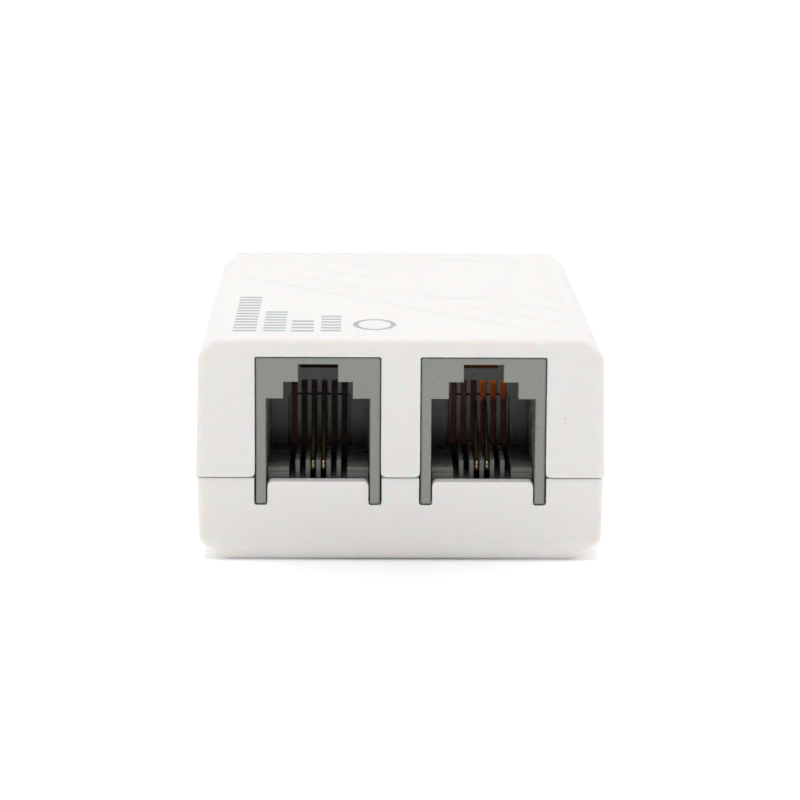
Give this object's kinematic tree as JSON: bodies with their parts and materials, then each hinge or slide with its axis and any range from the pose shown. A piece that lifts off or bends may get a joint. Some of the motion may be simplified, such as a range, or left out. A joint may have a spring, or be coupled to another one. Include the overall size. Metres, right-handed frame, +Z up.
{
  "type": "telephone line splitter",
  "caption": "Small white snap-together plastic box that splits a telephone line between grey modular sockets at its two ends, with a filter circuit inside.",
  "frame": {"origin": "middle of the flat underside", "axes": "+Y along the length, from the end with two sockets towards the end with one; +Z up through the lid; +X to the right as seen from the end with two sockets"},
  "size_m": [0.0402, 0.06, 0.0223],
  "materials": {
    "case_plastic": "warm white moulded ABS, fine satin",
    "jack_plastic": "mid grey moulded plastic, satin",
    "contact_gold": "gold-plated wire, bright",
    "board_laminate": "tan board laminate, satin",
    "capacitor_coat": "dipped red-brown coat, glossy",
    "resistor_coat": "tan coat with colour bands, satin",
    "ferrite": "dark sintered ferrite, matt",
    "bobbin_plastic": "black moulded plastic",
    "copper_wire": "enamelled copper winding"
  },
  "bodies": {
    "case": {"upper_shell": "case_plastic", "lower_shell": "case_plastic", "circuit_board": "board_laminate", "phone_jack_housing": "jack_plastic", "phone_jack_contact_carrier": "jack_plastic", "phone_contact_1_tail": "contact_gold", "phone_contact_2_tail": "contact_gold", "modem_jack_housing": "jack_plastic", "modem_jack_contact_carrier": "jack_plastic", "modem_contact_1_tail": "contact_gold", "modem_contact_2_tail": "contact_gold", "line_jack_housing": "jack_plastic", "line_jack_contact_carrier": "jack_plastic", "line_contact_1_tail": "contact_gold", "line_contact_2_tail": "contact_gold", "choke_1_bobbin": "bobbin_plastic", "choke_1_winding": "copper_wire", "choke_1_core_left": "ferrite", "choke_1_core_right": "ferrite", "choke_2_bobbin": "bobbin_plastic", "choke_2_winding": "copper_wire", "choke_2_core_left": "ferrite", "choke_2_core_right": "ferrite", "film_capacitor_1": "capacitor_coat", "film_capacitor_2": "capacitor_coat", "film_capacitor_3": "capacitor_coat", "film_capacitor_4": "capacitor_coat", "resistor_1": "resistor_coat", "resistor_2": "resistor_coat", "resistor_3": "resistor_coat"},
    "phone_contact_1": {"phone_contact_1_beam": "contact_gold"},
    "phone_contact_2": {"phone_contact_2_beam": "contact_gold"},
    "modem_contact_1": {"modem_contact_1_beam": "contact_gold"},
    "modem_contact_2": {"modem_contact_2_beam": "contact_gold"},
    "line_contact_1": {"line_contact_1_beam": "contact_gold"},
    "line_contact_2": {"line_contact_2_beam": "contact_gold"}
  },
  "joints": [
    {"name": "phone_contact_1_press", "type": "hinge", "parent": "case", "child": "phone_contact_1", "pos_m": [-0.0086, -0.0269, 0.0093], "axis": [-1, 0, 0], "range_deg": [0, 27], "stiffness_Nm_per_rad": 0.016},
    {"name": "phone_contact_2_press", "type": "hinge", "parent": "case", "child": "phone_contact_2", "pos_m": [-0.00758, -0.0269, 0.0093], "axis": [-1, 0, 0], "range_deg": [0, 27], "stiffness_Nm_per_rad": 0.016},
    {"name": "modem_contact_1_press", "type": "hinge", "parent": "case", "child": "modem_contact_1", "pos_m": [0.00758, -0.0269, 0.0093], "axis": [-1, 0, 0], "range_deg": [0, 27], "stiffness_Nm_per_rad": 0.016},
    {"name": "modem_contact_2_press", "type": "hinge", "parent": "case", "child": "modem_contact_2", "pos_m": [0.0086, -0.0269, 0.0093], "axis": [-1, 0, 0], "range_deg": [0, 27], "stiffness_Nm_per_rad": 0.016},
    {"name": "line_contact_1_press", "type": "hinge", "parent": "case", "child": "line_contact_1", "pos_m": [0.00051, 0.0269, 0.0093], "axis": [1, 0, 0], "range_deg": [0, 27], "stiffness_Nm_per_rad": 0.016},
    {"name": "line_contact_2_press", "type": "hinge", "parent": "case", "child": "line_contact_2", "pos_m": [-0.00051, 0.0269, 0.0093], "axis": [1, 0, 0], "range_deg": [0, 27], "stiffness_Nm_per_rad": 0.016}
  ]
}
